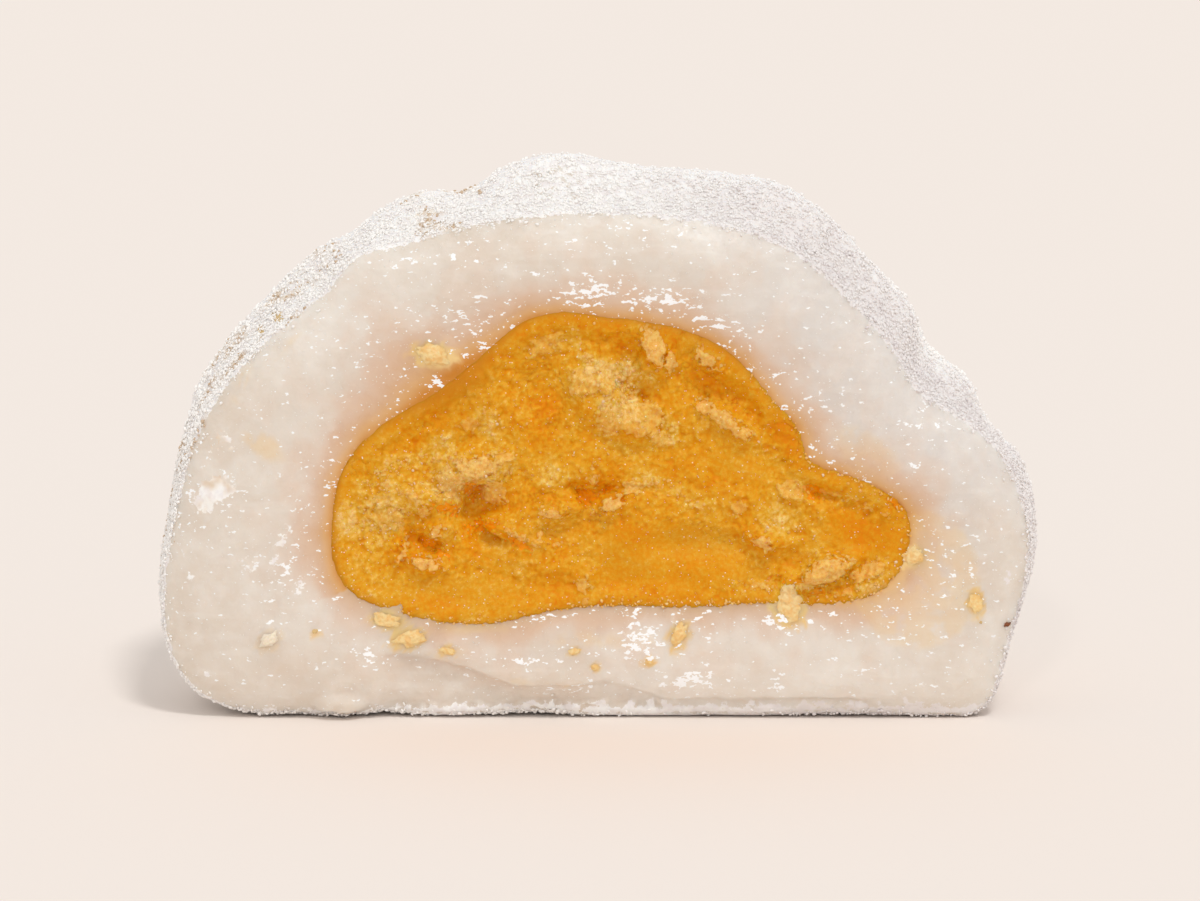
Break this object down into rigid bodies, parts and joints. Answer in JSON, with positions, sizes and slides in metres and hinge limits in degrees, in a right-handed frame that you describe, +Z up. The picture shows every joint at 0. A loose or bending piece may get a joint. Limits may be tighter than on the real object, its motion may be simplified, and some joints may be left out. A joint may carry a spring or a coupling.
{
  "type": "mochi rice cake half",
  "caption": "Half of a filled rice cake: a soft starch-dusted dome cut open to show its crumbly sweet paste, resting on a flat base.",
  "frame": {"origin": "middle of the footprint's bounding box, on the ground", "axes": "+Z up, -Y out of the cut face, +Y towards the rounded back, +X to the right when facing the cut"},
  "size_m": [0.0522, 0.0274, 0.0329],
  "materials": {
    "rice_cake": "soft translucent pounded rice, moist where cut, dusted with white starch outside",
    "bean_paste": "crumbly moist orange-yellow sweet paste"
  },
  "bodies": {
    "root": {"rice_cake": "rice_cake", "bean_paste": "bean_paste"}
  },
  "joints": []
}
